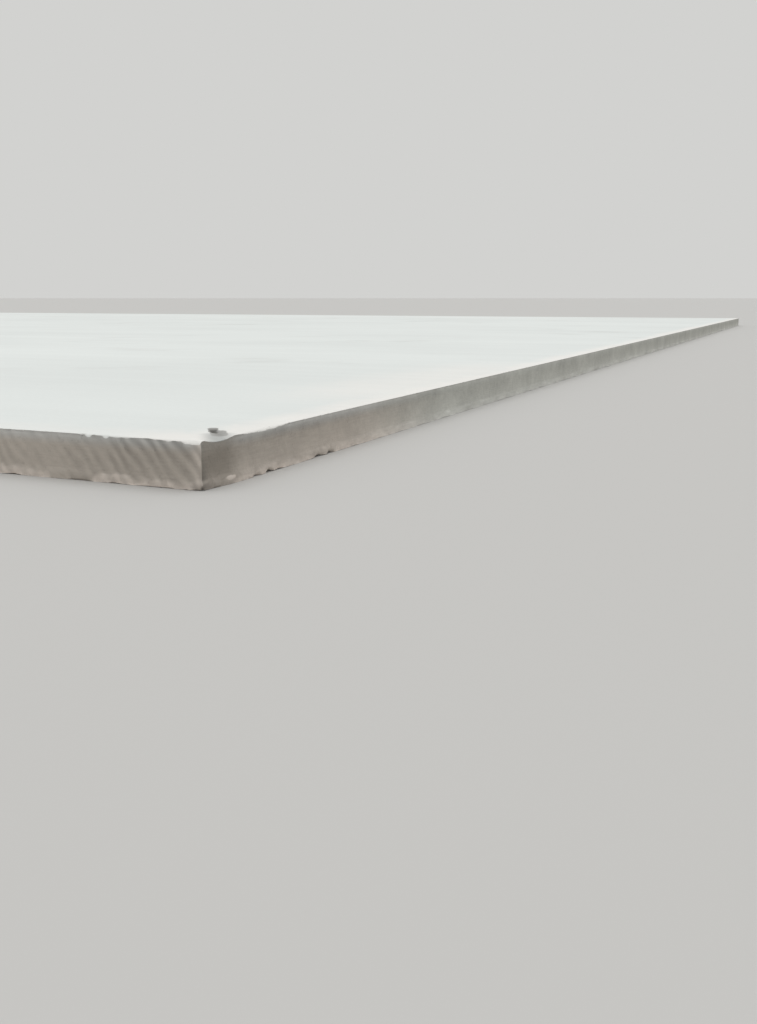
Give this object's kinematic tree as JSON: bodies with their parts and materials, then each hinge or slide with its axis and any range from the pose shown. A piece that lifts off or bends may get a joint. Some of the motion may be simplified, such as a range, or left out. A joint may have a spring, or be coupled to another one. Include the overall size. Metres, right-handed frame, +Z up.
{
  "type": "fiber cement backer board",
  "caption": "Flat rectangular sheet of pale grey fibre cement with square sawn edges, blunted and chipped near one corner, for backing tiles and lining walls.",
  "frame": {"origin": "middle of the underside, on the floor that the board lies on", "axes": "+X along the 2400 mm length, towards the end with the blunted corner; +Y across the 1200 mm width, from the front long edge to the rear one; +Z up, out of the tile face"},
  "size_m": [2.4, 1.2, 0.009],
  "materials": {
    "fiber_cement": "matte"
  },
  "bodies": {
    "root": {"board": "fiber_cement"}
  },
  "joints": []
}
